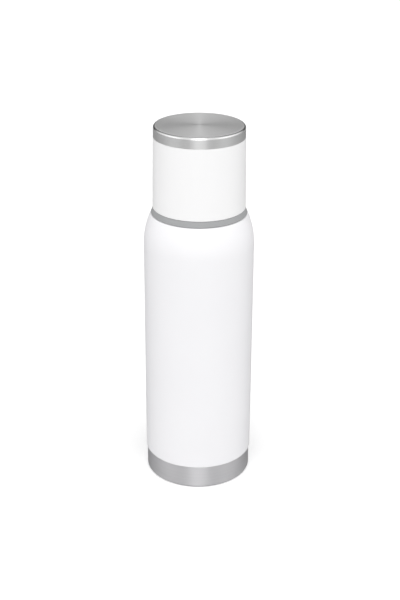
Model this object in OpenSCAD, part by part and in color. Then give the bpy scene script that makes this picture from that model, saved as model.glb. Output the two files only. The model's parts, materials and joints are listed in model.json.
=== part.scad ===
// Vacuum flask with a screw-on drinking cup and a press-to-pour stopper.
// Millimetres, +Z up, origin at the centre of the face that the flask stands on.

/* [Body] */
// Outside radius of the barrel
body_r = 42; // [41:0.5:45]
// Height of the bare steel base band
base_h = 18.3; // [12:0.1:20]
// How far the base band stands in from the barrel
base_inset = 0.8; // [0.5:0.1:1.2]
// Height at which the barrel starts to curve in to the shoulder
shoulder_z = 193; // [150:1:193]
// Radius of the shoulder's curve
shoulder_r = 60; // [50:1:70]
// Height of the flat deck on top of the shoulder
deck_z = 217.6; // [215:0.1:222]
// Thickness of the outer shell's sheet steel
shell_wall = 0.5; // [0.4:0.1:0.7]

/* [Inner vessel] */
// Thickness of the inner vessel's sheet steel
vessel_wall = 0.4; // [0.3:0.1:0.6]
// Width of the vacuum gap between the barrel walls
vacuum_gap = 3.0; // [2.5:0.1:5]
// Radius of the inner vessel's shoulder curve
vessel_shoulder_r = 22.5; // [20:0.5:24]
// Radius of the rounded corner at the inner vessel's bottom
vessel_corner_r = 8; // [4:1:12]
// Height of the mouth above the deck
mouth_h = 22.4; // [22:0.1:26]

/* [Cup] */
// Outside radius of the cup at its rim
cup_r = 35.1; // [34.5:0.1:35.5]
// How much narrower the cup is at its top
cup_taper = 0.7; // [0:0.1:1.0]
// Height of the coated cup wall
cup_h = 54.2; // [50:0.1:70]
// Height of the bare steel cap on the cup
cap_h = 8.7; // [6:0.1:12]
// Radius of the cap's rounded rim
cap_round = 2.0; // [1:0.1:3]
// Thickness of the cup's sheet steel
cup_wall = 0.6; // [0.5:0.1:0.8]

/* [Stopper] */
// Height of the collar's flange, which shows as a band between barrel and cup
flange_h = 4.3; // [4:0.1:7]
// How far the flange's lower edge stands out from the cup's rim
flange_flare = 1.3; // [0.5:0.1:1.5]
// How far the plug reaches down into the vessel, below the deck
plug_depth = 17.6; // [10:0.1:25]
// Radius of the push button
button_r = 12.8; // [9:0.1:13]
// Travel of the push button and of the valve under it
button_travel = 4; // [2:0.5:4]
// Radius of the valve rod
rod_r = 2.5; // [2:0.1:3]
// Radius of the spring's wire
wire_r = 0.45; // [0.3:0.05:0.5]
// Number of coils in the valve spring
spring_coils = 6; // [4:1:7]

/* [Threads] */
// Axial distance between neighbouring ridges
pitch = 4; // [3.6:0.1:4.4]
// Number of ridges that start round the circle
starts = 3; // [2:1:3]
// Height of a ridge above its wall
ridge_h = 1.3; // [1.1:0.1:1.3]
// Axial width of a ridge at its foot
ridge_foot = 1.9; // [1.5:0.1:2.0]
// Axial width of a ridge at its crest
ridge_crest = 0.9; // [0.6:0.1:1.0]
// Radial clearance between a ridge's crest and the wall that it faces
ridge_gap = 0.4; // [0.3:0.05:0.5]

/* [Hidden] */
$fn = 120;

eps = 0.01;                  // overlap that makes touching shapes of one piece join
over = 1;                    // how far a cut reaches past the surface that it opens
seat_gap = 0.3;              // gap between the deck and the flange above it
rim_gap = 0.2;               // gap between the flange and the cup's rim
lead = pitch * starts;       // rise for one full turn

// Body, from the outside in
shell_in = body_r - shell_wall;
base_r = body_r - base_inset;
base_wall = 0.7;
base_corner = 1.4;           // rounding of the foot's outer edge
base_tuck_h = 4.7;           // height of the rim that the vacuum bottom's flange holds
foot_in = base_r - 5;        // inner radius of the ring that the flask stands on
foot_rise = 2.4;             // height of the recess inside that ring
bottom_z = base_h + 0.6;     // lower edge of the vacuum bottom's flange
bottom_plate_z = bottom_z + 5.3;
dimple_r = 5;
dimple_rise = 2.3;
evacuation_r = 1;            // radius of the hole that the air is drawn out through
solder_r = 3.2;
solder_h = 1.6;
getter_x = 20;               // the getter lies between the vessel and the vacuum bottom
getter_r = 6;
getter_h = 2.2;
cushion_r = foot_in - 6;
cushion_round = 1.5;
vessel_r = shell_in - vacuum_gap;
vessel_z = bottom_plate_z + 6.8;
vessel_shoulder_z = shoulder_z - 3;
foil_gap = 0.3;
foil_wall = 0.1;

// Neck, from the cup's rim inward
thread_ring_r = cup_r - cup_wall - 0.3;      // outside of the cup's thread ring
thread_ring_in = cup_r - 4.4;                // its bore
skirt_r = thread_ring_in - ridge_h - 0.2;    // outside of the collar's skirt
skirt_in = skirt_r - 2.5;
neck_r = skirt_in - ridge_h - ridge_gap;     // outside of the steel neck
neck_wall = 1.1;
neck_in = neck_r - neck_wall;
bore_r = neck_in - 0.8 - vessel_wall;        // bore of the mouth
mouth_z = deck_z + mouth_h;
mouth_tube_z = vessel_shoulder_z                          // where the shoulder meets the mouth's tube
    + sqrt(pow(vessel_shoulder_r, 2) - pow(bore_r + vessel_wall - vessel_r + vessel_shoulder_r, 2));
lip_h = 0.6;
neck_flange_h = 0.8;
neck_flange_r = skirt_in + 0.5;

// Stopper
flange_z = deck_z + seat_gap;
flange_top = flange_z + flange_h;
top_z = mouth_z + 2;                         // underside of the collar's top plate
top_wall = 2.5;
skirt_round = 1.2;           // rounding of the collar's top edge
deck_relief = 0.9;           // step that clears the neck ring's flange
channel_h = 2.6;             // groove that lightens the flange
pour_rim_in = button_r + 7;
pour_rim_r = button_r + 9.2;
pour_rim_h = 6;
plug_r = bore_r - 0.9;
plug_wall = 2.4;
plug_floor = 1.8;
plug_corner = 1;
plug_z = deck_z - plug_depth;
channel_r = 9;
channel_wall = 1.4;
valve_hole_r = 8.2;
well_r = button_r + 1.4;                     // well under the push button
well_z = top_z - button_travel - 6;
button_gap = 0.8;                            // pouring gap round the button
button_z = top_z + 1.5;
button_h = 9.5;
button_round = 1.5;
button_wall = 1.6;
button_crown = 3.2;          // thickness of the button's top
dish_r = 34;                 // radius and depth of the hollow that a thumb rests in
dish_depth = 1.2;
groove_z = deck_z + 4;                       // groove of the plug gasket
groove_h = 6;
groove_depth = 1.2;
hub_z = well_z - 6;                          // guide hub of the valve rod
hub_h = 5;
hub_r = 5.2;
spoke_w = 1.6;
rod_gap = 0.1;
seal_h = 1.4;
head_h = 1.8;
rod_z = plug_z - seal_h - head_h;
boss_z = top_z + 3;                          // underside of the button's inner boss
rod_bite = 4;                // how far the rod reaches into the button's boss
spring_r = 4.2;
screw_r = 1.2;
screw_l = 7.5;
screw_head_r = 4;
screw_head_h = 2.2;
bead_r = 0.9;                // sealing beads of the plug gasket
bead_inset = 1.6;
bead_gap = 0.3;

// Cup
rim_z = flange_top + rim_gap;
shell_top = rim_z + cup_h;
cap_r = cup_r - cup_taper - 0.15;
cap_top = shell_top + cap_h;
tuck_r = cap_r - cup_wall;                   // part of the cap that sits inside the wall
tuck_h = 6.6;
gasket_h = 1.3;
thread_ring_z = flange_top + gasket_h;
thread_ring_h = 14.6;
liner_z = thread_ring_z + thread_ring_h;
liner_wall = 0.5;
liner_r = tuck_r - cup_wall - 0.3;
liner_top = shell_top - 6.1;
liner_corner = 5;

// Ridges: how they are drawn, and the height of each one's lower end
steps_per_turn = 40;
fade_steps = 4;              // steps over which a ridge grows out of its wall
ridge_root = 0.5;            // depth of a ridge's foot inside its wall
ridge_start = 0.15;          // depth of its crest where it starts
neck_ridge_z = deck_z + 7.2;
neck_ridge_turns = 0.8;
collar_ridge_z = deck_z + 4.7;
collar_ridge_turns = 0.5;
cup_ridge_z = thread_ring_z + 2.6;
cup_ridge_turns = 5 / 12;
skirt_ridge_z = cup_ridge_z + pitch / 2;
skirt_ridge_turns = 2 / 3;

// Rectangle from (r0, z0) to (r1, z1) in the half-section, with round corners of radius e
module bar(r0, z0, r1, z1, e) {
    translate([r0 + e, z0]) square([r1 - r0 - 2 * e, z1 - z0]);
    translate([r0, z0 + e]) square([r1 - r0, z1 - z0 - 2 * e]);
    for (r = [r0 + e, r1 - e], z = [z0 + e, z1 - e]) translate([r, z]) circle(r = e);
}

// Plain rectangle from (r0, z0) to (r1, z1) in the half-section
module slab(r0, z0, r1, z1) {
    translate([r0, z0]) square([r1 - r0, z1 - z0]);
}

// Block from the axis out to r, with its upper or lower outer corner rounded by e
module puck(r, z0, z1, e, upper = true) {
    slab(0, z0, r - e, z1);
    if (upper) slab(0, z0, r, z1 - e);
    else slab(0, z0 + e, r, z1);
    translate([r - e, upper ? z1 - e : z0 + e]) circle(r = e);
}

// Solid disc from z0 to z1 with both outer corners rounded by e
module disc(r, z0, z1, e) {
    slab(0, z0, r - e, z1);
    slab(0, z0 + e, r, z1 - e);
    for (z = [z0 + e, z1 - e]) translate([r - e, z]) circle(r = e);
}

// One section of a ridge, at angle a and height z: foot, crest, crest, foot
function ridge_section(foot, crest, a, z) =
    [for (p = [[foot, -ridge_foot], [crest, -ridge_crest], [crest, ridge_crest], [foot, ridge_foot]])
        [p[0] * cos(a), p[0] * sin(a), z + p[1] / 2]];

// Triangles that join section i of a closed sweep to the next one; n points a section
function sweep_faces(i, n) =
    [for (k = [0:n - 1]) let (a = i * n + k, b = i * n + (k + 1) % n)
        each [[a, b, b + n], [a, b + n, a + n]]];

// The same faces turned inside out
function flipped(faces) = [for (f = faces) [f[2], f[1], f[0]]];

// Helical ridges round the wall of radius wall_r. They stand out by h, inward where h < 0, and
// fade in and out over their first and last steps.
module ridges(wall_r, h, z0, turns) {
    steps = ceil(turns * steps_per_turn);
    foot = wall_r - sign(h) * ridge_root;
    low = wall_r - sign(h) * ridge_start;
    points = [for (i = [0:steps])
        let (grow = min(1, i / fade_steps, (steps - i) / fade_steps))
        each ridge_section(foot, low + (wall_r + h - low) * grow, 360 * turns * i / steps,
                           z0 + lead * turns * i / steps)];
    last = steps * 4;
    faces = concat([[0, 2, 1], [0, 3, 2]],
                   [for (i = [0:steps - 1]) each sweep_faces(i, 4)],
                   [[last, last + 1, last + 2], [last, last + 2, last + 3]]);
    for (s = [0:starts - 1]) rotate([0, 0, 360 * s / starts])
        polyhedron(points, h > 0 ? faces : flipped(faces));
}

// Solid inside the outer shell's surface, inset by i
module shell_outline(i) {
    slab(0, base_h + seat_gap, body_r - i, shoulder_z);
    intersection() {
        translate([body_r - shoulder_r, shoulder_z]) circle(r = shoulder_r - i, $fn = 360);
        slab(0, shoulder_z, body_r, deck_z - i);
    }
}

// Coated outer shell: barrel, shoulder and the deck under the collar
module outer_shell() color([0.93, 0.94, 0.93]) rotate_extrude() difference() {
    shell_outline(0);
    shell_outline(shell_wall);
    slab(0, base_h, shell_in, base_h + over);
    slab(0, deck_z - 2 * over, neck_in, deck_z + over);
}

// Solid inside the inner vessel's surface, inset by i
module vessel_outline(i) {
    c = vessel_corner_r;
    slab(0, vessel_z + c, vessel_r - i, vessel_shoulder_z);
    slab(0, vessel_z + i, vessel_r - c, vessel_z + c);
    translate([vessel_r - c, vessel_z + c]) circle(r = c - i);
    intersection() {
        translate([vessel_r - vessel_shoulder_r, vessel_shoulder_z]) circle(r = vessel_shoulder_r - i);
        slab(0, vessel_shoulder_z, vessel_r, mouth_z);
    }
}

// Bare steel vessel that holds the drink, open at the top of its shoulder
module inner_vessel() color([0.75, 0.76, 0.77]) rotate_extrude() difference() {
    vessel_outline(0);
    vessel_outline(vessel_wall);
    slab(0, vessel_shoulder_z, bore_r, mouth_z);
    slab(0, mouth_tube_z, vessel_r, mouth_z);
}

// Steel tube from the vessel's shoulder up to the mouth, with a rolled lip
module mouth_tube() color([0.77, 0.78, 0.79]) rotate_extrude() {
    slab(bore_r, mouth_tube_z, bore_r + vessel_wall, mouth_z - lip_h / 2);
    bar(bore_r, mouth_z - lip_h, neck_r, mouth_z, lip_h / 2 - eps);
}

// Threaded steel neck, welded to the shell's deck
module neck_ring() color([0.78, 0.79, 0.80]) {
    rotate_extrude() {
        slab(neck_in, deck_z, neck_r, mouth_z - lip_h);
        slab(neck_in, deck_z, neck_flange_r, deck_z + neck_flange_h);
    }
    ridges(neck_r, ridge_h, neck_ridge_z, neck_ridge_turns);
}

// Plate that closes the vacuum space, with the dimple that it is evacuated through
module vacuum_bottom() color([0.70, 0.71, 0.72]) rotate_extrude() difference() {
    union() {
        slab(shell_in - shell_wall, bottom_z, shell_in, bottom_plate_z + shell_wall);
        slab(0, bottom_plate_z, shell_in, bottom_plate_z + shell_wall);
        slab(0, bottom_plate_z, dimple_r + shell_wall, bottom_plate_z + dimple_rise + shell_wall);
    }
    slab(0, bottom_plate_z - over, dimple_r, bottom_plate_z + dimple_rise);
    slab(0, bottom_plate_z, evacuation_r, vessel_z);
}

// Solder bead that seals the evacuation hole
module vacuum_seal() color([0.35, 0.33, 0.30]) rotate_extrude()
    puck(solder_r, bottom_plate_z + dimple_rise - solder_h, bottom_plate_z + dimple_rise, solder_h / 2,
         false);

// Getter pellet in its holder, inside the vacuum space
module getter() color([0.45, 0.43, 0.42]) translate([getter_x, 0, bottom_plate_z + shell_wall])
    rotate_extrude() puck(getter_r, 0, getter_h, 0.6);

// Reflecting foil round the inner vessel
module foil_wrap() color([0.80, 0.55, 0.38]) rotate_extrude()
    slab(vessel_r + foil_gap, vessel_z + vessel_corner_r, vessel_r + foil_gap + foil_wall,
         vessel_shoulder_z - 2);

// Foam pad between the vacuum bottom and the base cap
module base_cushion() color([0.30, 0.30, 0.32]) rotate_extrude()
    disc(cushion_r, foot_rise + base_wall, bottom_z - 0.5, cushion_round);

// Solid inside the base cap's surface, inset by i: foot ring, recess and band
module base_outline(i) {
    slab(0, foot_rise + i, foot_in, base_h - i);
    puck(base_r - i, i, base_h - i, base_corner - i / 2, false);
}

// Bare steel base cap, whose rim tucks up into the vacuum bottom's flange
module base_cap() color([0.72, 0.73, 0.74]) rotate_extrude() {
    tuck = shell_in - shell_wall - 0.1;
    difference() {
        base_outline(0);
        slab(0, -over, foot_in, foot_rise);
        difference() {
            base_outline(base_wall);
            slab(0, -over, foot_in + base_wall, foot_rise + base_wall);
        }
        slab(0, base_h - base_wall - eps, tuck - base_wall, base_h + over);
    }
    slab(tuck - base_wall, base_h - base_wall, tuck, base_h + base_tuck_h);
}

// Flat silicone ring on the mouth's lip
module lip_gasket() color([0.85, 0.85, 0.83]) rotate_extrude()
    bar(bore_r + 0.4, mouth_z, neck_r, top_z, 0.3);

// Silicone ring round the plug, with two sealing beads
module plug_gasket() color([0.85, 0.85, 0.83]) rotate_extrude() {
    inner = plug_r - groove_depth + 0.2;
    slab(inner, groove_z + 0.2, plug_r - 0.1, groove_z + groove_h - 0.2);
    for (z = [groove_z + bead_inset, groove_z + groove_h - bead_inset])
        translate([bore_r - bead_gap - bead_r, z]) circle(r = bead_r);
}

// Grey moulded collar: flange, threaded skirt, top plate and pouring rim
module collar() color([0.62, 0.63, 0.64]) {
    flange_r = cup_r + flange_flare;
    rotate_extrude() difference() {
        union() {
            polygon([[skirt_in, flange_z], [flange_r, flange_z], [cup_r - 0.1, flange_top],
                     [skirt_in, flange_top]]);
            puck(skirt_r, flange_z, top_z + top_wall, skirt_round);
            bar(pour_rim_in, top_z, pour_rim_r, top_z + top_wall + pour_rim_h, 1);
        }
        slab(0, flange_z - over, skirt_in, top_z);
        slab(0, flange_z - over, skirt_in + deck_relief, flange_z + deck_relief);
        slab(0, top_z - over, button_r + button_gap, top_z + top_wall + over);
        bar(skirt_r + 2.5, flange_z - channel_h, flange_r - 3, flange_z + channel_h, 0.6);
    }
    ridges(skirt_in, -ridge_h, collar_ridge_z, collar_ridge_turns);
    ridges(skirt_r, ridge_h - 0.2, skirt_ridge_z, skirt_ridge_turns);
}

// Moulded plug body: outer wall, pour channel, well for the button and the rod's guide
module plug_shell() color([0.88, 0.88, 0.87]) {
    rotate_extrude() difference() {
        union() {
            slab(plug_r - plug_wall, plug_z, plug_r, top_z);
            puck(plug_r, plug_z, plug_z + plug_wall, plug_corner, false);
            slab(valve_hole_r, plug_z, channel_r + channel_wall, well_z);
            slab(channel_r, well_z - channel_wall, well_r + channel_wall, top_z);
        }
        slab(0, plug_z - over, valve_hole_r, plug_z + plug_floor);
        slab(0, plug_z + plug_floor, channel_r, well_z);
        slab(channel_r + channel_wall, plug_z + plug_floor, plug_r - plug_wall, well_z - channel_wall);
        slab(0, well_z, well_r, top_z + over);
        slab(plug_r - groove_depth, groove_z, plug_r + over, groove_z + groove_h);
    }
    difference() {
        union() {
            translate([0, 0, hub_z]) cylinder(r = hub_r, h = hub_h);
            for (a = [0, 120, 240]) rotate([0, 0, a])
                translate([hub_r - 1, -spoke_w / 2, hub_z])
                    cube([channel_r - hub_r + 1.5, spoke_w, hub_h]);
        }
        translate([0, 0, hub_z - over]) cylinder(r = rod_r + rod_gap, h = hub_h + 2 * over);
    }
}

// Insulating foam inside the plug body
module plug_foam() color([0.95, 0.93, 0.85]) rotate_extrude() {
    gap = 0.2;
    slab(channel_r + channel_wall + gap, plug_z + plug_floor + gap, plug_r - plug_wall - gap,
         well_z - channel_wall - gap);
    slab(well_r + channel_wall + gap, well_z - channel_wall - gap - eps, plug_r - plug_wall - gap,
         top_z - gap);
}

// Push button: dished top, skirt and the boss that holds the rod
module push_button() color([0.55, 0.56, 0.57]) {
    top = button_z + button_h;
    difference() {
        rotate_extrude() {
            difference() {
                puck(button_r, button_z, top, button_round);
                slab(0, button_z - over, button_r - button_wall, top - button_crown);
            }
            slab(0, boss_z, hub_r, top - button_crown + eps);
        }
        translate([0, 0, top + dish_r - dish_depth]) sphere(r = dish_r, $fn = 180);
        translate([0, 0, boss_z - over]) cylinder(r = rod_r, h = rod_bite + over);
    }
}

// Steel rod that joins the push button to the valve
module valve_rod() color([0.75, 0.76, 0.77]) difference() {
    translate([0, 0, rod_z]) cylinder(r = rod_r, h = boss_z + rod_bite - rod_z);
    translate([0, 0, rod_z - over]) cylinder(r = screw_r, h = screw_l + 0.5 + over);
}

// Moulded disc that backs the valve's seal
module valve_head() color([0.88, 0.88, 0.87]) rotate_extrude() difference() {
    puck(valve_hole_r + 1.2, rod_z, rod_z + head_h, 0.8, false);
    slab(0, rod_z - over, rod_r, rod_z + head_h + over);
}

// Silicone disc that closes the plug's lower opening
module valve_seal() color([0.85, 0.85, 0.83]) rotate_extrude()
    slab(rod_r, rod_z + head_h, valve_hole_r + 2, plug_z);

// Pan-head screw that holds the valve's head on the rod
module valve_screw() color([0.75, 0.76, 0.77]) difference() {
    rotate_extrude() {
        puck(screw_head_r, rod_z - screw_head_h, rod_z, 1, false);
        slab(0, rod_z - eps, screw_r, rod_z + screw_l);
    }
    for (a = [0, 90]) rotate([0, 0, a])
        translate([-screw_head_r / 2, -0.4, rod_z - screw_head_h - over])
            cube([screw_head_r, 0.8, 1.2 + over]);
}

// Compression spring that shuts the valve and lifts the button
module valve_spring() color([0.80, 0.81, 0.82]) {
    sides = 6;
    per_turn = 16;
    z0 = hub_z + hub_h + wire_r + 0.05;
    rise = boss_z - wire_r - 0.05 - z0;
    steps = spring_coils * per_turn;
    points = [for (i = [0:steps], k = [0:sides - 1])
        let (a = 360 * i / per_turn, b = 360 * k / sides, r = spring_r + wire_r * cos(b))
        [r * cos(a), r * sin(a), z0 + rise * i / steps + wire_r * sin(b)]];
    first = [for (k = [sides - 1:-1:0]) k];
    last = [for (k = [0:sides - 1]) steps * sides + k];
    polyhedron(points, concat([first], [for (i = [0:steps - 1]) each sweep_faces(i, sides)],
                              [last]));
}

// Silicone ring between the flange and the cup
module cup_gasket() color([0.85, 0.85, 0.83]) rotate_extrude()
    bar(thread_ring_in + 0.5, flange_top, thread_ring_r - 0.1, thread_ring_z, 0.3);

// Loose insulating disc between the cup's liner and its cap
module cup_foam() color([0.95, 0.93, 0.85]) rotate_extrude()
    disc(liner_r - 1, liner_top + 0.4, cap_top - cup_wall - 0.5, 1);

// Moulded ring inside the cup's rim, with the cup's thread
module cup_thread_ring() color([0.62, 0.63, 0.64]) {
    rotate_extrude() bar(thread_ring_in, thread_ring_z, thread_ring_r, liner_z, 0.4);
    ridges(thread_ring_in, 0.2 - ridge_h, cup_ridge_z, cup_ridge_turns);
}

// Solid inside the cup liner's surface, inset by i
module liner_outline(i) {
    puck(liner_r - i, liner_z, liner_top - i, liner_corner - i);
}

// Bare steel inside of the cup, flanged where it stands on the thread ring
module cup_liner() color([0.78, 0.79, 0.80]) rotate_extrude() {
    difference() {
        liner_outline(0);
        liner_outline(liner_wall);
    }
    slab(liner_r - liner_wall, liner_z, thread_ring_r - 0.3, liner_z + liner_wall);
}

// Coated outer wall of the cup, slightly narrower at its top
module cup_shell() color([0.95, 0.96, 0.95]) rotate_extrude() {
    lip = cup_wall / 2;
    polygon([[cup_r - cup_wall, rim_z + lip], [cup_r, rim_z + lip],
             [cup_r - cup_taper, shell_top], [cup_r - cup_taper - cup_wall, shell_top]]);
    translate([cup_r - lip, rim_z + lip]) circle(r = lip, $fn = 24);
}

// Bare steel cap on the cup, with a rounded rim and a neck that tucks into the cup's wall
module cup_cap() color([0.70, 0.70, 0.71]) rotate_extrude() {
    difference() {
        puck(cap_r, shell_top, cap_top, cap_round);
        puck(cap_r - cup_wall, shell_top + cup_wall, cap_top - cup_wall, cap_round - cup_wall);
        slab(0, shell_top - over, tuck_r - cup_wall, shell_top + over);
    }
    slab(tuck_r - cup_wall, shell_top - tuck_h, tuck_r, shell_top + eps);
}

outer_shell();
inner_vessel();
mouth_tube();
neck_ring();
vacuum_bottom();
vacuum_seal();
getter();
foil_wrap();
base_cushion();
base_cap();
lip_gasket();
plug_gasket();
collar();
plug_shell();
plug_foam();
push_button();
valve_rod();
valve_head();
valve_seal();
valve_screw();
valve_spring();
cup_gasket();
cup_foam();
cup_thread_ring();
cup_liner();
cup_shell();
cup_cap();
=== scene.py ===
import json
import math
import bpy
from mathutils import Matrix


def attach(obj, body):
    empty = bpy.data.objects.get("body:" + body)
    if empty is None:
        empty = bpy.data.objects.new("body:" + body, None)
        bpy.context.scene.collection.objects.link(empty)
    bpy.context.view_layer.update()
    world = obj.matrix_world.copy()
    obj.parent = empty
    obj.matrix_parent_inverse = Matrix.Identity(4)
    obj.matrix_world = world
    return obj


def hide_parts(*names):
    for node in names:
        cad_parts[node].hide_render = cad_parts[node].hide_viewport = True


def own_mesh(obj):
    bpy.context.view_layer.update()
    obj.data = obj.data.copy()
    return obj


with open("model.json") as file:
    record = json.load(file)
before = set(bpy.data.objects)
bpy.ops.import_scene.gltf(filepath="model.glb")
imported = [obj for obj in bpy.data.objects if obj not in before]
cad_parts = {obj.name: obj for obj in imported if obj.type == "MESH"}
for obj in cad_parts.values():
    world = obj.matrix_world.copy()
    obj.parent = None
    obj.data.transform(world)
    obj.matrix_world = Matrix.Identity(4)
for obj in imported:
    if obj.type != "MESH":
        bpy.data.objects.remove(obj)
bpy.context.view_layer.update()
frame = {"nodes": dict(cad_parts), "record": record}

from types import SimpleNamespace

import bmesh
import bpy
import numpy as np
from mathutils import Matrix, Vector

MM = 0.001
SEGMENTS = 192          # facets round a turned piece
FILLET_STEPS = 10       # facets round each rounded edge
SHARP_EDGE = 35         # angle in degrees from which an edge between two faces is shaded sharp

# ---------------------------------------------------------------- sizes, in millimetres


def size(node):
    """Outer radius, smallest radius, lowest and highest z of a CAD node."""
    co = np.array([v.co for v in frame["nodes"][node].data.vertices]) / MM
    r = np.hypot(co[:, 0], co[:, 1])
    return SimpleNamespace(r=float(r.max()), bore=float(r.min()),
                           low=float(co[:, 2].min()), high=float(co[:, 2].max()))


SHELL, VESSEL, MOUTH, NECK = map(size, ("outer_shell", "inner_vessel", "mouth_tube", "neck_ring"))
BOTTOM, BASE, CUSHION = map(size, ("vacuum_bottom", "base_cap", "base_cushion"))
COLLAR, PLUG, BUTTON = map(size, ("collar", "plug_shell", "push_button"))
LIP, BEADS, CUP_RING = map(size, ("lip_gasket", "plug_gasket", "cup_gasket"))
ROD, HEAD, DISC, SPRING = map(size, ("valve_rod", "valve_head", "valve_seal", "valve_spring"))
CUP, CAP, LINER, THREAD = map(size, ("cup_shell", "cup_cap", "cup_liner", "cup_thread_ring"))

CAP_ROUND = 2.0          # radius of the cap's rounded rim
SHELL_WALL = 0.5         # sheet thicknesses
VESSEL_WALL = 0.4
CUP_WALL = 0.6
LINER_WALL = 0.5
BASE_WALL = 0.7
SHOULDER_Z = 193.0       # where the barrel starts to curve in, and the radius of that curve
SHOULDER_R = 60.0
VESSEL_CURVE_Z = 190.0   # the same on the inner vessel
VESSEL_CURVE_R = 22.5
RIDGE = 1.3              # height of the ridges between neck and collar
CUP_RIDGE = 1.1          # height of the ridges between collar and cup
LEAD = 12.0              # rise of a thread for one full turn
STARTS = 3
EDGE = 0.25              # radius that takes the sharpness off a formed or moulded edge

# ---------------------------------------------------------------- turned meshes


def arc(cx, cy, radius, start, stop, steps):
    """Points on a circle from one angle to another, in degrees."""
    angles = (math.radians(start + (stop - start) * i / steps) for i in range(steps + 1))
    return [(cx + radius * math.cos(a), cy + radius * math.sin(a)) for a in angles]


def rounded(corners, steps=FILLET_STEPS):
    """Outline through corners (r, z) or (r, z, fillet), each corner with a fillet rounded off."""
    outline = []
    for i, corner in enumerate(corners):
        here = Vector(corner[:2])
        radius = corner[2] if len(corner) > 2 else 0
        if radius <= 0:
            outline.append(tuple(here))
            continue
        back = Vector(corners[i - 1][:2]) - here
        ahead = Vector(corners[(i + 1) % len(corners)][:2]) - here
        half = back.angle(ahead) / 2
        reach = radius / math.tan(half)
        room = 0.49 * min(back.length, ahead.length)    # leaves each neighbour's fillet its half
        if reach > room:
            reach, radius = room, room * math.tan(half)
        centre = here + (back.normalized() + ahead.normalized()).normalized() * radius / math.sin(half)
        a = here + back.normalized() * reach - centre
        b = here + ahead.normalized() * reach - centre
        turn = a.angle_signed(b)
        for k in range(steps + 1):
            angle = -turn * k / steps
            outline.append((centre.x + a.x * math.cos(angle) - a.y * math.sin(angle),
                            centre.y + a.x * math.sin(angle) + a.y * math.cos(angle)))
    return outline


def turned(bm, outline, segments=SEGMENTS):
    """Adds the closed outline (r, z), in millimetres, turned round the z axis."""
    rings = []
    for r, z in outline:
        if r < 1e-4:    # a point on the axis
            rings.append([bm.verts.new((0, 0, z * MM))])
        else:
            rings.append([bm.verts.new((r * MM * math.cos(a), r * MM * math.sin(a), z * MM))
                          for a in (2 * math.pi * k / segments for k in range(segments))])
    for i, ring in enumerate(rings):
        after = rings[(i + 1) % len(rings)]
        if len(ring) == 1 and len(after) == 1:
            continue
        for k in range(segments):
            n = (k + 1) % segments
            quad = [ring[k % len(ring)], ring[n % len(ring)], after[n % len(after)], after[k % len(after)]]
            corners = list(dict.fromkeys(quad))
            bm.faces.new(corners)


def ridges(bm, wall, height, z0, turns, per_turn=72):
    """Adds rounded helical thread ridges on the wall of radius wall; height is negative on a bore.

    The points of a ridge's section are (out, up): out in ridge heights, or in millimetres where it is
    inside the wall, and up in millimetres.
    """
    side = math.copysign(1, height)
    shape = [(-0.5, -1.05), (0.0, -0.95), (0.62, -0.66), (0.88, -0.5), (1.0, -0.28),
             (1.0, 0.28), (0.88, 0.5), (0.62, 0.66), (0.0, 0.95), (-0.5, 1.05)]
    steps = round(turns * per_turn)
    fade = per_turn / 10    # steps over which a ridge grows out of the wall at its ends
    sink = 0.12             # how deep in the wall it starts: crest in ridge heights, root in millimetres
    for start in range(STARTS):
        loops = []
        for i in range(steps + 1):
            grow = max(0.0, min(1.0, i / fade, (steps - i) / fade))
            grow = math.sin(grow * math.pi / 2)
            angle = 2 * math.pi * (turns * i / steps + start / STARTS)
            z = z0 + LEAD * turns * i / steps
            loop = []
            for out, up in shape:
                if out > 0:
                    r = wall + out * ((1 + sink) * grow - sink) * height
                else:
                    r = wall + side * (out - sink * (1 - grow))
                loop.append(bm.verts.new((r * MM * math.cos(angle), r * MM * math.sin(angle), (z + up) * MM)))
            loops.append(loop)
        n = len(shape)
        for a, b in zip(loops, loops[1:]):
            for k in range(n):
                bm.faces.new((a[k], a[(k + 1) % n], b[(k + 1) % n], b[k]))
        bm.faces.new(loops[0])
        bm.faces.new(list(reversed(loops[-1])))


def block(bm, low, high, turn=0.0):
    """Adds a box between two corners, in millimetres, turned round the z axis."""
    place = (Matrix.Rotation(math.radians(turn), 4, "Z")
             @ Matrix.Translation((Vector(low) + Vector(high)) / 2 * MM)
             @ Matrix.Diagonal(((Vector(high) - Vector(low)) * MM).to_4d()))
    bmesh.ops.create_cube(bm, size=1.0, matrix=place)


def coil(bm, radius, wire, low, high, turns, dead=1.0, per_turn=32, sides=12):
    """Adds a compression spring of wire radius wire, with a closed turn at each end."""
    steps = round(turns * per_turn)
    rise = high - low - 2 * wire
    closed = 2.04 * wire    # rise of a closed turn, just clear of the wire below it
    loops = []
    for i in range(steps + 1):
        t = i / per_turn
        live = min(max(t - dead, 0), turns - 2 * dead) / (turns - 2 * dead)
        flat = min(t, dead) + max(t - (turns - dead), 0)
        z = low + wire + flat * closed + live * (rise - 2 * dead * closed)
        angle = 2 * math.pi * t
        loop = []
        for k in range(sides):
            around = 2 * math.pi * k / sides
            r = radius + wire * math.cos(around)
            loop.append(bm.verts.new((r * MM * math.cos(angle), r * MM * math.sin(angle),
                                      (z + wire * math.sin(around)) * MM)))
        loops.append(loop)
    for before, after in zip(loops, loops[1:]):
        for k in range(sides):
            n = (k + 1) % sides
            bm.faces.new((before[k], before[n], after[n], after[k]))
    bm.faces.new(loops[0])
    bm.faces.new(loops[-1])


BODY_OF = {node: body for body, nodes in frame["record"]["behaviour"]["bodies"].items() for node in nodes}


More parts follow.
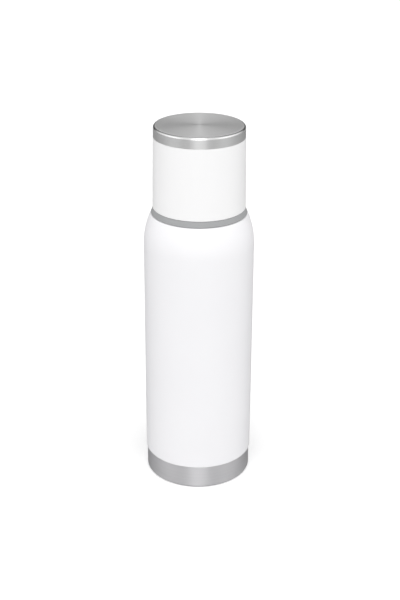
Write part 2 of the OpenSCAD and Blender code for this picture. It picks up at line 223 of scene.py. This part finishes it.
def piece(node, finish, build):
    """A detailed mesh that stands for a CAD node; build(bm) adds its shape."""
    bm = bmesh.new()
    build(bm)
    bmesh.ops.recalc_face_normals(bm, faces=bm.faces)
    mesh = bpy.data.meshes.new(node + "_detailed")
    bm.to_mesh(mesh)
    bm.free()
    mesh.shade_smooth()
    mesh.set_sharp_from_angle(angle=math.radians(SHARP_EDGE))
    mesh.materials.append(finish)
    obj = bpy.data.objects.new(node + "_detailed", mesh)
    bpy.context.scene.collection.objects.link(obj)
    weigh = obj.modifiers.new("even_shading", "WEIGHTED_NORMAL")
    weigh.keep_sharp = True
    weigh.weight = 60
    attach(obj, BODY_OF[node])
    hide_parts(node)
    return obj


def turned_piece(node, finish, corners, threads=()):
    """A detailed mesh turned from rounded corners, with any thread ridges."""
    def build(bm):
        turned(bm, rounded(corners))
        for thread in threads:
            ridges(bm, *thread)
    return piece(node, finish, build)


# ---------------------------------------------------------------- finishes


class Finish:
    """A procedural material: one Principled shader and the few nodes that give it its detail."""

    def __init__(self, name, color, roughness, metallic=0.0, **fixed):
        self.material = bpy.data.materials.new(name)
        self.material.use_nodes = True
        self.nodes = self.material.node_tree.nodes
        self.links = self.material.node_tree.links
        self.shader = self.nodes["Principled BSDF"]
        self.color, self.roughness = color, roughness
        self.shader.inputs["Base Color"].default_value = (*color, 1)
        self.shader.inputs["Roughness"].default_value = roughness
        self.shader.inputs["Metallic"].default_value = metallic
        for key, value in fixed.items():
            self.shader.inputs[key.replace("_", " ")].default_value = value
        self.position = self.nodes.new("ShaderNodeTexCoord").outputs["Object"]
        self.height = None

    def node(self, kind, **settings):
        """A new shader node with these settings."""
        made = self.nodes.new(kind)
        for key, value in settings.items():
            setattr(made, key, value)
        return made

    def plug(self, value, socket):
        """Links another node's output to the socket, or sets the socket to a number."""
        if hasattr(value, "links"):
            self.links.new(value, socket)
        else:
            socket.default_value = value

    def math(self, operation, a, b=0.0):
        """A sum or other operation on two values."""
        made = self.node("ShaderNodeMath", operation=operation)
        self.plug(a, made.inputs[0])
        self.plug(b, made.inputs[1])
        return made.outputs[0]

    def scaled(self, x, y, z):
        """Object coordinates scaled along each axis: large numbers give fine detail."""
        made = self.node("ShaderNodeVectorMath", operation="MULTIPLY")
        self.links.new(self.position, made.inputs[0])
        made.inputs[1].default_value = (x, y, z)
        return made.outputs[0]

    def axis(self, index):
        """One object coordinate, in metres: 0 is x, 1 is y, 2 is z."""
        split = self.node("ShaderNodeSeparateXYZ")
        self.links.new(self.position, split.inputs[0])
        return split.outputs[index]

    def radius(self):
        """Distance from the z axis, in metres."""
        x, y = self.axis(0), self.axis(1)
        return self.math("SQRT", self.math("ADD", self.math("MULTIPLY", x, x), self.math("MULTIPLY", y, y)))

    def blend(self, share, first, second):
        """first where share is 0, second where it is 1."""
        made = self.node("ShaderNodeMix", data_type="FLOAT")
        self.plug(share, made.inputs[0])
        self.plug(first, made.inputs[2])
        self.plug(second, made.inputs[3])
        return made.outputs[0]

    def hoops(self, fine, coarse):
        """Coordinates that run fast across grooves turned round the axis and slowly along them."""
        x, y, z = (self.axis(i) for i in range(3))
        r = self.radius()
        join = self.node("ShaderNodeCombineXYZ")
        self.plug(self.math("MULTIPLY", x, coarse), join.inputs[0])
        self.plug(self.math("MULTIPLY", y, coarse), join.inputs[1])
        self.plug(self.math("MULTIPLY", self.math("SUBTRACT", r, z), fine), join.inputs[2])
        return join.outputs[0]

    def noise(self, vector, scale=1.0, detail=2.0, rough=0.5):
        """Soft random variation; scale is its number of lumps along one unit of the vector."""
        made = self.node("ShaderNodeTexNoise")
        self.plug(vector, made.inputs["Vector"])
        made.inputs["Scale"].default_value = scale
        made.inputs["Detail"].default_value = detail
        made.inputs["Roughness"].default_value = rough
        return made.outputs["Fac"]

    def cells(self, vector, scale):
        """Distance to the middle of the nearest of many random cells."""
        made = self.node("ShaderNodeTexVoronoi")
        self.plug(vector, made.inputs["Vector"])
        made.inputs["Scale"].default_value = scale
        return made.outputs["Distance"]

    def spread(self, value, low, high, start=0.3, stop=0.7):
        """Maps a value between start and stop, such as noise, to the range from low to high."""
        made = self.node("ShaderNodeMapRange")
        self.plug(value, made.inputs["Value"])
        for key, number in (("From Min", start), ("From Max", stop), ("To Min", low), ("To Max", high)):
            made.inputs[key].default_value = number
        return made.outputs["Result"]

    def vary_color(self, value, other, start=0.3, stop=0.7):
        """Blends the colour towards another one where value is high."""
        mix = self.node("ShaderNodeMix", data_type="RGBA")
        self.plug(self.spread(value, 0.0, 1.0, start, stop), mix.inputs["Factor"])
        mix.inputs[6].default_value = (*self.color, 1)
        mix.inputs[7].default_value = (*other, 1)
        self.links.new(mix.outputs[2], self.shader.inputs["Base Color"])
        return self

    def vary_roughness(self, value, low, high):
        """Moves the roughness between low and high with value."""
        self.links.new(self.spread(value, low, high), self.shader.inputs["Roughness"])
        return self

    def bump(self, value, depth):
        """Adds relief, with its depth in metres; relief added later lies on top."""
        made = self.node("ShaderNodeBump")
        made.inputs["Distance"].default_value = depth
        made.inputs["Strength"].default_value = 1.0
        self.plug(value, made.inputs["Height"])
        if self.height is not None:
            self.links.new(self.height, made.inputs["Normal"])
        self.height = made.outputs["Normal"]
        self.links.new(self.height, self.shader.inputs["Normal"])
        return self

    def round_grain(self):
        """Lets grooves run round the z axis, so that reflections spread across them."""
        tangent = self.node("ShaderNodeTangent", direction_type="RADIAL", axis="Z")
        self.links.new(tangent.outputs[0], self.shader.inputs["Tangent"])
        return self


def powder_coat(name, color, shade):
    """Baked powder paint, with fine grain over a faint orange peel."""
    f = Finish(name, color, 0.55, Specular_IOR_Level=0.4)
    grain = f.noise(f.position, 2600, 2, 0.6)
    peel = f.noise(f.position, 520, 2, 0.5)
    cloud = f.noise(f.position, 22, 3, 0.5)
    f.vary_color(cloud, shade)
    f.vary_roughness(f.noise(f.position, 90, 4, 0.6), 0.5, 0.6)
    f.bump(peel, 0.000012)
    f.bump(grain, 0.000006)
    return f.material


def turned_steel(name, color, shade, roughness, anisotropy, rim=None):
    """Steel brushed on a lathe: fine rings on a disc, fine hoops on a wall.

    rim, in metres (radius, height), is where a rounded edge starts that is polished after the brushing.
    """
    fade = 0.0003           # metres over which the polish sets in
    f = Finish(name, color, roughness, 1.0, Anisotropic=anisotropy,
               Anisotropic_Rotation=0.25)
    lines = f.noise(f.hoops(5200, 9), 1.0, 3, 0.65)
    bands = f.noise(f.hoops(900, 6), 1.0, 3, 0.6)
    f.vary_color(bands, shade)
    brushed = f.spread(lines, roughness - 0.05, roughness + 0.07)
    if rim:
        outside = f.spread(f.radius(), 0, 1, rim[0], rim[0] + fade)
        above = f.spread(f.axis(2), 0, 1, rim[1], rim[1] + fade)
        polished = f.math("MULTIPLY", outside, above)
        brushed = f.blend(polished, brushed, POLISHED)
        lines = f.math("MULTIPLY", lines, f.math("SUBTRACT", 1.0, polished))
    f.links.new(brushed, f.shader.inputs["Roughness"])
    f.bump(lines, 0.0000025)
    return f.round_grain().material


def moulded(name, color, shade, roughness):
    """Hard plastic from a lightly textured mould."""
    f = Finish(name, color, roughness, Specular_IOR_Level=0.45)
    f.vary_color(f.noise(f.position, 30, 3), shade)
    f.vary_roughness(f.noise(f.position, 700, 3, 0.6), roughness - 0.05, roughness + 0.07)
    f.bump(f.noise(f.position, 3600, 3, 0.7), 0.000012)
    return f.material


def silicone(name, color, shade):
    """Soft rubber that lets a little light in."""
    f = Finish(name, color, 0.38, Subsurface_Weight=0.25, Subsurface_Scale=0.002, Specular_IOR_Level=0.4)
    f.shader.inputs["Subsurface Radius"].default_value = (1.0, 0.95, 0.9)
    f.vary_color(f.noise(f.position, 60, 3), shade)
    f.vary_roughness(f.noise(f.position, 400, 3), 0.32, 0.46)
    f.bump(f.noise(f.position, 1500, 2), 0.00001)
    return f.material


def polished_steel(name, color, shade, roughness):
    """Drawn and polished sheet, with faint hoops from the drawing."""
    f = Finish(name, color, roughness, 1.0)
    f.vary_color(f.noise(f.position, 40, 4), shade)
    f.vary_roughness(f.noise(f.position, 250, 4, 0.6), roughness - 0.04, roughness + 0.07)
    f.bump(f.noise(f.scaled(30, 30, 1200), 1.0, 3), 0.000004)
    return f.material


def foam(name, color, shade, cell):
    """Open foam, with cell its number of cells in a metre."""
    f = Finish(name, color, 0.85, Specular_IOR_Level=0.2)
    cells = f.cells(f.position, cell)
    f.vary_color(cells, shade, 0.2, 0.8)
    f.bump(cells, 0.00025)
    return f.material


def crinkled_foil(name, color, shade):
    """Thin bright foil with flat facets between its creases."""
    f = Finish(name, color, 0.22, 1.0)
    f.vary_color(f.noise(f.position, 35, 4), shade)
    f.vary_roughness(f.noise(f.position, 200, 3), 0.16, 0.32)
    f.bump(f.cells(f.scaled(1, 1, 0.7), 140), 0.0003)
    return f.material


def sintered(name, color, shade):
    """Dull pressed or fused metal with a grainy surface."""
    f = Finish(name, color, 0.6, 0.8)
    f.vary_color(f.noise(f.position, 300, 3), shade)
    f.vary_roughness(f.noise(f.position, 900, 3), 0.5, 0.75)
    f.bump(f.noise(f.position, 2500, 3, 0.7), 0.00003)
    return f.material


def drawn_wire(name, color, shade):
    """Steel wire or rod with fine drawing marks."""
    f = Finish(name, color, 0.28, 1.0)
    f.vary_color(f.noise(f.position, 150, 3), shade)
    f.vary_roughness(f.noise(f.position, 1200, 3), 0.22, 0.38)
    f.bump(f.noise(f.scaled(300, 300, 2200), 1.0, 2), 0.000005)
    return f.material


POLISHED = 0.15         # roughness of a polished edge

WHITE_COAT = powder_coat("white_powder_coat", (0.83, 0.826, 0.842), (0.815, 0.811, 0.828))
CUP_COAT = powder_coat("white_cup_coat", (0.85, 0.848, 0.85), (0.835, 0.833, 0.836))
BAND_STEEL = turned_steel("brushed_band_steel", (0.72, 0.715, 0.73), (0.69, 0.685, 0.70), 0.36, 0.9)
CAP_STEEL = turned_steel("brushed_cap_steel", (0.63, 0.63, 0.63), (0.605, 0.605, 0.605), 0.36, 0.9,
                         rim=((CAP.r - CAP_ROUND) * MM, (CAP.high - CAP_ROUND) * MM))
LINER_STEEL = turned_steel("turned_liner_steel", (0.66, 0.665, 0.67), (0.61, 0.615, 0.62), 0.24, 0.5)
VESSEL_STEEL = polished_steel("polished_vessel_steel", (0.66, 0.665, 0.67), (0.60, 0.61, 0.615), 0.2)
NECK_STEEL = turned_steel("rolled_neck_steel", (0.64, 0.645, 0.65), (0.61, 0.615, 0.62), 0.3, 0.4)
GREY_POLYMER = moulded("grey_moulded_collar", (0.33, 0.335, 0.34), (0.31, 0.315, 0.32), 0.6)
BUTTON_POLYMER = moulded("grey_moulded_button", (0.22, 0.225, 0.23), (0.20, 0.205, 0.21), 0.5)
PALE_POLYMER = moulded("pale_moulded_plug", (0.78, 0.78, 0.76), (0.74, 0.74, 0.72), 0.45)
SILICONE = silicone("white_silicone", (0.80, 0.80, 0.78), (0.74, 0.74, 0.72))
WIRE = drawn_wire("drawn_steel_wire", (0.62, 0.625, 0.63), (0.52, 0.525, 0.53))
PALE_FOAM = foam("pale_rigid_foam", (0.84, 0.80, 0.66), (0.66, 0.61, 0.46), 900)
DARK_FOAM = foam("dark_soft_foam", (0.06, 0.06, 0.065), (0.025, 0.025, 0.028), 700)
COPPER = crinkled_foil("copper_foil", (0.82, 0.48, 0.32), (0.70, 0.38, 0.24))
SINTER = sintered("sintered_getter", (0.22, 0.21, 0.20), (0.12, 0.115, 0.11))
SOLDER = sintered("fused_solder", (0.30, 0.29, 0.28), (0.20, 0.19, 0.185))

# ---------------------------------------------------------------- the flask's body


def arch(cx, cz, radius, top):
    """A wall that curves inward over a shoulder, from level up to height top."""
    return arc(cx, cz, radius, 0, math.degrees(math.asin((top - cz) / radius)), 28)


def outer_shell():
    """Barrel, shoulder and the deck on top of it, open below."""
    inside = SHELL.r - SHELL_WALL
    centre = SHELL.r - SHOULDER_R
    outer = arch(centre, SHOULDER_Z, SHOULDER_R, SHELL.high)
    inner = arch(centre, SHOULDER_Z, SHOULDER_R - SHELL_WALL, SHELL.high - SHELL_WALL)
    corners = ([(inside, SHELL.low), (SHELL.r, SHELL.low, EDGE)] + outer[:-1] + [(*outer[-1], 0.3)]
               + [(SHELL.bore, SHELL.high), (SHELL.bore, SHELL.high - SHELL_WALL)] + inner[::-1])
    turned_piece("outer_shell", WHITE_COAT, corners)


def base_cap():
    """The band, the ring that it stands on, and the rim that tucks up into the vacuum bottom's flange."""
    foot, recess, corner = 5.0, 2.4, 1.4
    seam, play = 0.3, 0.1
    top = SHELL.low - seam
    inner = BASE.r - foot
    wall = BASE.r - BASE_WALL
    tuck = BOTTOM.r - SHELL_WALL - play
    tuck_in = tuck - BASE_WALL
    turned_piece("base_cap", BAND_STEEL, [
        (0, recess), (inner, recess, 0.6), (inner, 0, 0.5), (BASE.r, 0, corner), (BASE.r, top, 0.35),
        (tuck, top, 0.1), (tuck, BASE.high, 0.3), (tuck_in, BASE.high, 0.3),
        (tuck_in, top - BASE_WALL, 0.1), (wall, top - BASE_WALL), (wall, BASE_WALL, 0.9),
        (inner + BASE_WALL, BASE_WALL, 0.3), (inner + BASE_WALL, recess + BASE_WALL, 0.6),
        (0, recess + BASE_WALL)])


def inner_vessel():
    """The vessel that holds the drink, open at the top of its shoulder."""
    corner = 8.0
    c = VESSEL.r - corner
    centre = VESSEL.r - VESSEL_CURVE_R
    outer = arch(centre, VESSEL_CURVE_Z, VESSEL_CURVE_R, VESSEL.high)
    inside_top = VESSEL_CURVE_Z + math.sqrt((VESSEL_CURVE_R - VESSEL_WALL) ** 2 - (MOUTH.bore - centre) ** 2)
    inner = arch(centre, VESSEL_CURVE_Z, VESSEL_CURVE_R - VESSEL_WALL, inside_top)
    turned_piece("inner_vessel", VESSEL_STEEL,
                 [(0, VESSEL.low)] + arc(c, VESSEL.low + corner, corner, -90, 0, 16) + outer
                 + [(MOUTH.bore, VESSEL.high)] + inner[::-1]
                 + arc(c, VESSEL.low + corner, corner - VESSEL_WALL, 0, -90, 16)
                 + [(0, VESSEL.low + VESSEL_WALL)])


def mouth_and_neck():
    """The mouth's tube with its rolled lip, and the threaded neck round it."""
    lip = 0.6
    tube = MOUTH.bore + VESSEL_WALL
    turned_piece("mouth_tube", VESSEL_STEEL, [
        (MOUTH.bore, MOUTH.low), (tube, MOUTH.low), (tube, MOUTH.high - lip, 0.1),
        (MOUTH.r, MOUTH.high - lip, lip / 2), (MOUTH.r, MOUTH.high, lip / 2),
        (MOUTH.bore, MOUTH.high, lip / 2)])
    wall, flange = NECK.bore + 1.1, NECK.bore + 3.3
    flange_top = NECK.low + 0.8
    thread_z, turns = SHELL.high + 7.2, 0.8
    turned_piece("neck_ring", NECK_STEEL, [
        (NECK.bore, NECK.low), (flange, NECK.low, 0.1), (flange, flange_top, 0.3),
        (wall, flange_top, 0.3), (wall, NECK.high, 0.1), (NECK.bore, NECK.high)],
        threads=[(wall, RIDGE, thread_z, turns)])


def vacuum_bottom():
    """The plate that closes the vacuum space, with a flange round it and the evacuation dimple."""
    plate = CUSHION.high + 5.8
    wall, hole, dimple, rise = SHELL_WALL, 1.0, 5.0, 2.3
    turned_piece("vacuum_bottom", VESSEL_STEEL, [
        (hole, plate + rise), (dimple, plate + rise, 0.5), (dimple, plate, 0.3),
        (BOTTOM.r - wall, plate, 0.5), (BOTTOM.r - wall, BOTTOM.low, 0.1), (BOTTOM.r, BOTTOM.low, 0.1),
        (BOTTOM.r, plate + wall, 0.5), (dimple + wall, plate + wall, 0.3),
        (dimple + wall, plate + rise + wall, 0.5), (hole, plate + rise + wall)])


def rounded_disc(node, finish, edge, bore=0.0):
    """A plain disc or washer whose outer edges are rounded."""
    s = size(node)
    turned_piece(node, finish, [(bore, s.low), (s.r, s.low, edge), (s.r, s.high, edge), (bore, s.high)])


def rounded_ring(node, finish, edge):
    """A ring with a rounded rectangular section."""
    s = size(node)
    turned_piece(node, finish, [(s.bore, s.low, edge), (s.r, s.low, edge),
                                (s.r, s.high, edge), (s.bore, s.high, edge)])


# ---------------------------------------------------------------- the stopper


def collar():
    """The flange that shows as a band, the threaded skirt, the top plate and the pouring rim."""
    flange_top, flare = CUP_RING.low, 1.4
    plate, top = LIP.high, LIP.high + 2.5
    skirt = THREAD.bore - 0.4
    skirt_in = skirt - 2.5
    step = 0.9              # clears the neck ring's flange
    relief, relief_top = skirt_in + step, COLLAR.low + step
    groove_in, groove_out, groove_top = skirt + 2.5, COLLAR.r - 3, COLLAR.low + 2.6
    rim_in, rim_out, hole = BUTTON.r + 7, BUTTON.r + 9.2, BUTTON.r + 0.8
    inner_thread = (skirt_in, -RIDGE, SHELL.high + 4.7, 0.5)
    outer_thread = (skirt, CUP_RIDGE, THREAD.low + 4.6, 2 / 3)
    turned_piece("collar", GREY_POLYMER, [
        (relief, COLLAR.low, 0.2), (groove_in, COLLAR.low, EDGE), (groove_in, groove_top, 0.5),
        (groove_out, groove_top, 0.5), (groove_out, COLLAR.low, EDGE),
        (COLLAR.r, COLLAR.low, 0.35), (COLLAR.r - flare, flange_top, 0.3),
        (skirt, flange_top, 0.4), (skirt, top, 1.2), (rim_out, top, 0.5), (rim_out, COLLAR.high, 1.0),
        (rim_in, COLLAR.high, 1.0), (rim_in, top, 0.5), (hole, top, 0.5), (hole, plate, 0.2),
        (skirt_in, plate, 0.3), (skirt_in, relief_top, 0.2), (relief, relief_top)],
        threads=[inner_thread, outer_thread])


def plug_shell():
    """The plug's outer wall, pour channel and button well, and the rod's guide on three spokes."""
    inside, bottom = PLUG.r - 2.4, PLUG.low + 1.8
    port, channel, well, well_floor, thin = 8.2, 9.0, 14.2, PLUG.high - 10, 1.4
    groove_low, groove_high, groove_in = SHELL.high + 4, SHELL.high + 10, PLUG.r - 1.2
    guide, hub, hub_low, hub_high = ROD.r + 0.1, 5.2, well_floor - 6, well_floor - 1
    spoke, bite, inset = 0.8, 0.4, 0.2      # half width, depth in the walls, gap to the hub's faces

    def build(bm):
        turned(bm, rounded([
            (port, PLUG.low, 0.4), (PLUG.r, PLUG.low, 1.0), (PLUG.r, groove_low, 0.2),
            (groove_in, groove_low, 0.1), (groove_in, groove_high, 0.1),
            (PLUG.r, groove_high, 0.2), (PLUG.r, PLUG.high, 0.2), (inside, PLUG.high),
            (inside, bottom), (channel + thin, bottom), (channel + thin, well_floor - thin),
            (well + thin, well_floor - thin), (well + thin, PLUG.high), (well, PLUG.high, 0.3),
            (well, well_floor, 0.8), (channel, well_floor, 0.6), (channel, bottom, 0.2),
            (port, bottom, 0.2)]))
        turned(bm, rounded([(guide, hub_low, 0.2), (hub, hub_low, 0.5), (hub, hub_high, 0.5),
                            (guide, hub_high, 0.2)]))
        for turn in (0, 120, 240):
            block(bm, (hub - bite, -spoke, hub_low + inset), (channel + bite, spoke, hub_high - inset), turn)

    piece("plug_shell", PALE_POLYMER, build)


def push_button():
    """The button, with a dished top, a fine ring round the dish and the rod's boss inside."""
    dish_r, dish = 34.0, 1.2
    edge_r = math.sqrt(dish_r ** 2 - (dish_r - dish) ** 2)
    lift = BUTTON.high - dish + dish_r
    hollow = [(r, lift - math.sqrt(dish_r ** 2 - r ** 2)) for r in (edge_r * i / 12 for i in range(13))]
    boss, boss_z = 5.2, SPRING.high + 0.05
    inside, under = BUTTON.r - 1.6, BUTTON.high - 3.2
    ring_in, ring, ring_out, ring_depth = edge_r + 1.2, edge_r + 1.5, edge_r + 1.8, 0.3
    turned_piece("push_button", BUTTON_POLYMER, hollow[:-1] + [
        (*hollow[-1], 0.6), (ring_in, BUTTON.high, 0.2), (ring, BUTTON.high - ring_depth, 0.12),
        (ring_out, BUTTON.high, 0.2), (BUTTON.r, BUTTON.high, 1.5), (BUTTON.r, BUTTON.low, 0.4),
        (inside, BUTTON.low, 0.4), (inside, under, 0.8), (boss, under, 0.6), (boss, boss_z, 0.4),
        (ROD.r, boss_z, 0.15), (ROD.r, ROD.high), (0, ROD.high)])


def valve():
    """Rod, head, seal and spring; the spring gets a mesh of its own."""
    hole, hole_top = 1.2, ROD.low + 8
    turned_piece("valve_rod", WIRE, [
        (hole, ROD.low, 0.15), (ROD.r, ROD.low, 0.3), (ROD.r, ROD.high, 0.4), (0, ROD.high),
        (0, hole_top), (hole, hole_top)])
    turned_piece("valve_head", PALE_POLYMER, [
        (ROD.r, HEAD.low, 0.1), (HEAD.r, HEAD.low, 0.8), (HEAD.r, HEAD.high, 0.1), (ROD.r, HEAD.high)])
    turned_piece("valve_seal", SILICONE, [
        (ROD.r, DISC.low), (DISC.r, DISC.low, 0.4), (DISC.r, DISC.high, 0.4), (ROD.r, DISC.high)])
    wire, travel, turns = 0.45, 4.0, 7.5
    spring = piece("valve_spring", WIRE,
                   lambda bm: coil(bm, SPRING.r - wire, wire, SPRING.low, SPRING.high, turns))
    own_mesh(spring)


def plug_gasket():
    """A flat ring with two round beads that seal against the mouth."""
    bead, inset = 0.9, 1.4  # radius of a bead, and how far its middle is from the ring's nearer face
    inner, flat = BEADS.bore, BEADS.r - 0.7
    reach = math.degrees(math.acos((flat - (BEADS.r - bead)) / bead))
    ring = [(inner, BEADS.low, 0.15), (flat, BEADS.low, 0.1)]
    for z in (BEADS.low + inset, BEADS.high - inset):
        ring += arc(BEADS.r - bead, z, bead, -reach, reach, 12)
    turned_piece("plug_gasket", SILICONE, ring + [(flat, BEADS.high, 0.1), (inner, BEADS.high, 0.15)])


# ---------------------------------------------------------------- the cup


def cup():
    """Coated wall, steel cap with its tucked-in rim, thread ring and steel liner."""
    top = CAP.r + 0.15      # radius at the top of the coated wall
    turned_piece("cup_shell", CUP_COAT, [
        (CUP.r, CUP.low, 0.33), (top, CUP.high, 0.12),
        (top - CUP_WALL, CUP.high, 0.1), (CUP.r - CUP_WALL, CUP.low, 0.33)])
    tuck = CAP.r - CUP_WALL
    tuck_in = tuck - CUP_WALL
    turned_piece("cup_cap", CAP_STEEL, [
        (tuck_in, CAP.low, 0.1), (tuck, CAP.low, 0.25), (tuck, CUP.high, 0.05),
        (CAP.r, CUP.high, 0.2), (CAP.r, CAP.high, CAP_ROUND), (0, CAP.high), (0, CAP.high - CUP_WALL),
        (tuck, CAP.high - CUP_WALL, CAP_ROUND - CUP_WALL), (tuck, CUP.high + CUP_WALL, 0.1),
        (tuck_in, CUP.high + CUP_WALL, 0.2)])
    bore = THREAD.bore + CUP_RIDGE
    thread_z, turns = THREAD.low + 2.6, 5 / 12
    turned_piece("cup_thread_ring", GREY_POLYMER, [
        (bore, THREAD.low, 0.4), (THREAD.r, THREAD.low, 0.4), (THREAD.r, THREAD.high, 0.3),
        (bore, THREAD.high, 0.4)],
        threads=[(bore, -CUP_RIDGE, thread_z, turns)])
    corner, play = 5.0, 0.3
    wall = CAP.r - 2 * CUP_WALL - play
    c = wall - corner
    turned_piece("cup_liner", LINER_STEEL, [
        (wall - LINER_WALL, LINER.low, 0.3), (LINER.r, LINER.low, 0.2),
        (LINER.r, LINER.low + LINER_WALL, 0.2), (wall, LINER.low + LINER_WALL, 0.2)]
        + arc(c, LINER.high - corner, corner, 0, 90, 14)
        + [(0, LINER.high), (0, LINER.high - LINER_WALL)]
        + arc(c, LINER.high - corner, corner - LINER_WALL, 90, 0, 14))


outer_shell()
base_cap()
inner_vessel()
mouth_and_neck()
vacuum_bottom()
rounded_disc("base_cushion", DARK_FOAM, 1.5)
collar()
plug_shell()
push_button()
valve()
plug_gasket()
rounded_ring("lip_gasket", SILICONE, 0.3)
rounded_ring("cup_gasket", SILICONE, 0.3)
rounded_disc("cup_foam", PALE_FOAM, 1.0)
cup()

# ---------------------------------------------------------------- finishes of the pieces that CAD shapes

CAD_FINISHES = {"vacuum_seal": SOLDER, "getter": SINTER, "foil_wrap": COPPER, "plug_foam": PALE_FOAM,
                "valve_screw": WIRE}
for node, finish in CAD_FINISHES.items():
    obj = frame["nodes"][node]
    obj.data.materials.clear()
    obj.data.materials.append(finish)

# ---------------------------------------------------------------- studio

CAMERA_DISTANCE = 0.867  # metres in front of the flask's axis
CAMERA_HEIGHT = 0.532    # metres above the floor
CAMERA_RIGHT = 0.001     # metres to the right of the axis
CAMERA_PITCH = 24.07     # degrees below the horizon
CAMERA_ROLL = 0.28       # degrees
SENSOR = 36              # millimetres, as is the focal length
CAMERA_LENS = 73.2


def add_camera():
    """A camera in front of the flask that looks down at it."""
    data = bpy.data.cameras.new("camera")
    data.sensor_width = SENSOR
    data.lens = CAMERA_LENS
    camera = bpy.data.objects.new("camera", data)
    camera.matrix_world = (Matrix.Translation((CAMERA_RIGHT, -CAMERA_DISTANCE, CAMERA_HEIGHT))
                           @ Matrix.Rotation(math.radians(90 - CAMERA_PITCH), 4, "X")
                           @ Matrix.Rotation(math.radians(CAMERA_ROLL), 4, "Z"))
    bpy.context.scene.collection.objects.link(camera)
    bpy.context.scene.camera = camera


# Soft lights round the flask, in degrees: azimuth from the front towards the right, elevation, half
# width, and strength
LIGHTS = [
    (0, 15, 115, 1.19),      # very wide panel in front
    (0, 11, 26, 1.85),       # lamp in the middle of it
    (0, 67, 16, 1.6),        # narrow lamp over the front
    (90, 9, 56, 1.08),       # soft panel on the right
    (-90, 9, 56, 1.08),      # soft panel on the left
    (0, 85, 42, 0.3),        # softbox overhead
    (180, 35, 31, 0.8),      # softbox behind
]
AMBIENT = 0.1            # light from every direction, under the others
FLOOR_RADIUS = 6.0       # metres
FLOOR_DROP = 0.0002      # keeps the floor clear of the face that the flask stands on
FLOOR_BOUNCE = 0.5       # share of light the floor throws back just in front of the flask
FLOOR_PAINTED_SHADE_BEHIND = 0.15      # just behind it, darker: painted shade of the flask on the floor, seen only in reflections and in the light the floor throws up
FLOOR_FAR = 0.47         # and well away from it
FLOOR_FRONT, FLOOR_BACK = -0.05, 0.12    # y between which the first becomes the second
FLOOR_CLOSE, FLOOR_AWAY = 0.1, 0.8       # distances from the axis between which both become the third
FLOOR_GLOW = 0.19        # the floor is lit a little from below, like the table of a light tent


def add_world():
    """A white backdrop for the camera, and the soft lights for everything else."""
    world = bpy.data.worlds.new("studio")
    world.use_nodes = True
    bpy.context.scene.world = world
    nodes, links = world.node_tree.nodes, world.node_tree.links
    nodes.clear()
    direction = nodes.new("ShaderNodeTexCoord").outputs["Generated"]
    total = None
    for azimuth, elevation, width, strength in LIGHTS:
        a, e = math.radians(azimuth), math.radians(elevation)
        dot = nodes.new("ShaderNodeVectorMath")
        dot.operation = "DOT_PRODUCT"
        links.new(direction, dot.inputs[0])
        dot.inputs[1].default_value = (math.sin(a) * math.cos(e), -math.cos(a) * math.cos(e), math.sin(e))
        ramp = nodes.new("ShaderNodeMapRange")
        ramp.interpolation_type = "SMOOTHSTEP"
        links.new(dot.outputs["Value"], ramp.inputs["Value"])
        ramp.inputs["From Min"].default_value = math.cos(math.radians(width))
        ramp.inputs["From Max"].default_value = 1
        ramp.inputs["To Min"].default_value = 0
        ramp.inputs["To Max"].default_value = strength
        add = nodes.new("ShaderNodeMath")
        add.operation = "ADD"
        links.new(ramp.outputs["Result"], add.inputs[0])
        if total is None:
            add.inputs[1].default_value = AMBIENT
        else:
            links.new(total, add.inputs[1])
        total = add.outputs[0]
    lit = nodes.new("ShaderNodeBackground")
    links.new(total, lit.inputs["Strength"])
    lit.inputs["Color"].default_value = (1, 1, 1, 1)
    seen = nodes.new("ShaderNodeBackground")
    seen.inputs["Color"].default_value = (1, 1, 1, 1)
    path = nodes.new("ShaderNodeLightPath")
    mix = nodes.new("ShaderNodeMixShader")
    links.new(path.outputs["Is Camera Ray"], mix.inputs[0])
    links.new(lit.outputs[0], mix.inputs[1])
    links.new(seen.outputs[0], mix.inputs[2])
    out = nodes.new("ShaderNodeOutputWorld")
    links.new(mix.outputs[0], out.inputs["Surface"])


def add_floor():
    """A pale floor that fades into the white backdrop and throws little light back up, with painted shade
    just behind the flask in that light.
    """
    f = Finish("pale_floor", (0.93, 0.93, 0.93), 0.9, Specular_IOR_Level=0.0)
    f.vary_color(f.noise(f.position, 3, 3), (0.92, 0.92, 0.92))
    f.shader.inputs["Emission Color"].default_value = (1, 1, 1, 1)
    f.shader.inputs["Emission Strength"].default_value = FLOOR_GLOW
    path = f.node("ShaderNodeLightPath")
    bounce = f.node("ShaderNodeBsdfDiffuse")
    # painted shade: the light the floor throws back is darker just behind the flask, as if the flask's shadow
    # lay there
    bounce_with_painted_shade = f.spread(f.axis(1), FLOOR_BOUNCE, FLOOR_PAINTED_SHADE_BEHIND, FLOOR_FRONT, FLOOR_BACK)
    away = f.spread(f.radius(), 0, 1, FLOOR_CLOSE, FLOOR_AWAY)
    f.plug(f.blend(away, bounce_with_painted_shade, FLOOR_FAR), bounce.inputs["Color"])
    mix = f.node("ShaderNodeMixShader")
    f.plug(path.outputs["Is Camera Ray"], mix.inputs[0])
    f.plug(bounce.outputs[0], mix.inputs[1])
    f.plug(f.shader.outputs[0], mix.inputs[2])
    f.plug(mix.outputs[0], f.nodes["Material Output"].inputs["Surface"])
    bm = bmesh.new()
    bmesh.ops.create_circle(bm, cap_ends=True, radius=FLOOR_RADIUS, segments=128)
    mesh = bpy.data.meshes.new("floor")
    bm.to_mesh(mesh)
    bm.free()
    mesh.materials.append(f.material)
    floor = bpy.data.objects.new("floor", mesh)
    floor.location.z = -FLOOR_DROP
    bpy.context.scene.collection.objects.link(floor)


def set_colour():
    """Shows the colours as they are."""
    view = bpy.context.scene.view_settings
    view.view_transform = "Standard"
    view.look = "None"
    view.exposure = 0
    view.gamma = 1


add_camera()
add_world()
add_floor()
set_colour()
